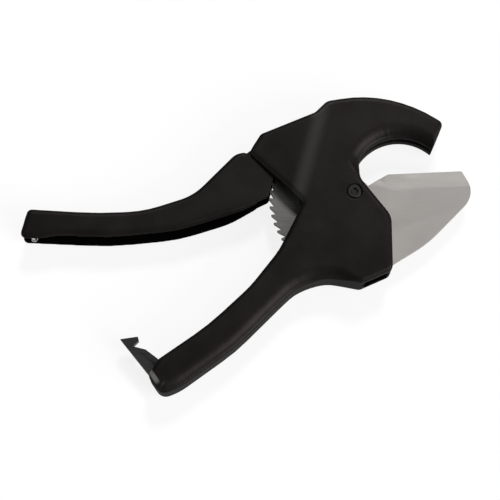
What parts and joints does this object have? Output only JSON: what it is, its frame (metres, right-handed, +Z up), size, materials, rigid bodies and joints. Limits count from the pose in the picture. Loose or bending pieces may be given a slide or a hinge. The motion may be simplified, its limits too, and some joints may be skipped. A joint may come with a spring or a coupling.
{
  "type": "ratcheting pipe cutter",
  "caption": "Hand cutter for plastic pipe: hook jaw casting with a lower handle, pivoting ratchet blade, swinging channel-shaped upper handle, pawls and a closing latch.",
  "frame": {"origin": "middle of the resting box in plan, on the surface the tool lies on", "axes": "+X along the tool from the handles to the blade tip, +Y from the lower handle towards the hook jaw, +Z up out of the front face"},
  "size_m": [0.2256, 0.1512, 0.0203],
  "materials": {
    "black_casting": "satin black powder coat on die-cast aluminium",
    "blade_steel": "ground and brushed",
    "bright_steel": "plain turned or stamped",
    "dark_steel": "blackened",
    "black_fixing": "black oxide",
    "spring_steel": "drawn wire and strip",
    "bronze": "plain bearing bronze"
  },
  "bodies": {
    "casting": {"frame": "black_casting", "pivot_bolt": "black_fixing", "pivot_nut": "bright_steel", "thrust_washer_front": "bright_steel", "thrust_washer_back": "bright_steel", "handle_pivot_pin": "bright_steel", "holding_pawl_pin": "bright_steel", "blade_stop_pin": "bright_steel", "latch_pin": "bright_steel", "holding_pawl_spring": "spring_steel"},
    "cutting_blade": {"blade": "blade_steel", "blade_bush": "bronze"},
    "handle": {"upper_handle": "black_casting", "catch_pin": "bright_steel", "drive_pawl_pin": "bright_steel", "drive_pawl_spring": "spring_steel", "handle_spring": "spring_steel"},
    "pushing_pawl": {"drive_pawl": "bright_steel"},
    "keeping_pawl": {"holding_pawl": "bright_steel"},
    "handle_latch": {"latch": "dark_steel", "latch_washer": "bright_steel"}
  },
  "joints": [
    {"name": "blade_swing", "type": "hinge", "parent": "casting", "child": "cutting_blade", "pos_m": [0.05348, 0.02492, 0.01], "axis": [0, 0, 1], "range_deg": [-48, 48]},
    {"name": "handle_swing", "type": "hinge", "parent": "casting", "child": "handle", "pos_m": [0.01303, 0.05039, 0.01], "axis": [0, 0, 1], "range_deg": [0, 35.5], "stiffness_Nm_per_rad": 0.4, "springref_deg": -17.19},
    {"name": "drive_pawl_rock", "type": "hinge", "parent": "handle", "child": "pushing_pawl", "pos_m": [-0.00352, 0.03792, 0.01], "axis": [0, 0, 1], "range_deg": [-67.5, 0]},
    {"name": "holding_pawl_rock", "type": "hinge", "parent": "casting", "child": "keeping_pawl", "pos_m": [0.02616, -0.01381, 0.01], "axis": [0, 0, 1], "range_deg": [-8, 0]},
    {"name": "latch_swing", "type": "hinge", "parent": "casting", "child": "handle_latch", "pos_m": [-0.04192, -0.06628, 0.01], "axis": [0, 0, 1], "range_deg": [0, 40]}
  ],
  "couplings": [
    {"joint": "drive_pawl_rock", "follows": "handle_swing", "ratio": -1.9}
  ]
}
